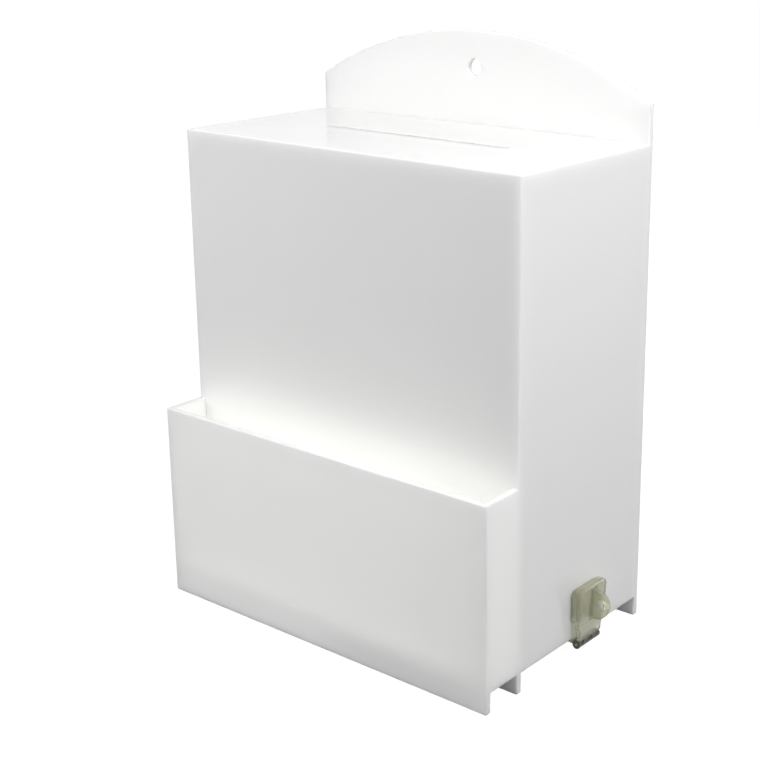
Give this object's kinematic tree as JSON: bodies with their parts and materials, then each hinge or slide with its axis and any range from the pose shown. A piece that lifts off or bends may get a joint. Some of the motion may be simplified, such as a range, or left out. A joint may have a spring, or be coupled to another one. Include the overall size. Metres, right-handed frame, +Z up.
{
  "type": "suggestion box",
  "caption": "Upright white acrylic suggestion box with a paper slot in its top, a forms pocket in front, an arched hanging tab behind and a hasped bottom door.",
  "frame": {"origin": "on the surface that the feet stand on, under the middle of the whole part, hasp and hinges included", "axes": "+X towards the side with the hasp, +Y towards the wall behind, +Z up"},
  "size_m": [0.2732, 0.154, 0.35],
  "materials": {
    "opal_acrylic": "glossy white opal cast acrylic sheet with polished edges",
    "clear_plastic": "clear moulded plastic with a faint grey-green tint",
    "pin_steel": "plain drawn steel wire"
  },
  "bodies": {
    "case": {"back_panel": "opal_acrylic", "top_panel": "opal_acrylic", "front_panel": "opal_acrylic", "left_side_panel": "opal_acrylic", "right_side_panel": "opal_acrylic", "pocket_front_panel": "opal_acrylic", "pocket_left_cheek": "opal_acrylic", "pocket_right_cheek": "opal_acrylic", "pocket_floor": "opal_acrylic", "front_hinge_case_leaf": "clear_plastic", "front_hinge_pin": "pin_steel", "rear_hinge_case_leaf": "clear_plastic", "rear_hinge_pin": "pin_steel", "hasp_staple": "clear_plastic"},
    "door": {"bottom_door": "opal_acrylic", "front_hinge_door_leaf": "clear_plastic", "rear_hinge_door_leaf": "clear_plastic", "hasp_door_leaf": "clear_plastic", "hasp_pin": "pin_steel"},
    "strap": {"hasp_strap": "clear_plastic"}
  },
  "joints": [
    {"name": "door_swing", "type": "hinge", "parent": "case", "child": "door", "pos_m": [-0.13415, 0.014, 0.0092], "axis": [0, 1, 0], "range_deg": [0, 180]},
    {"name": "strap_swing", "type": "hinge", "parent": "door", "child": "strap", "pos_m": [0.12145, 0.016, 0.0092], "axis": [0, 1, 0], "range_deg": [0, 180]}
  ]
}
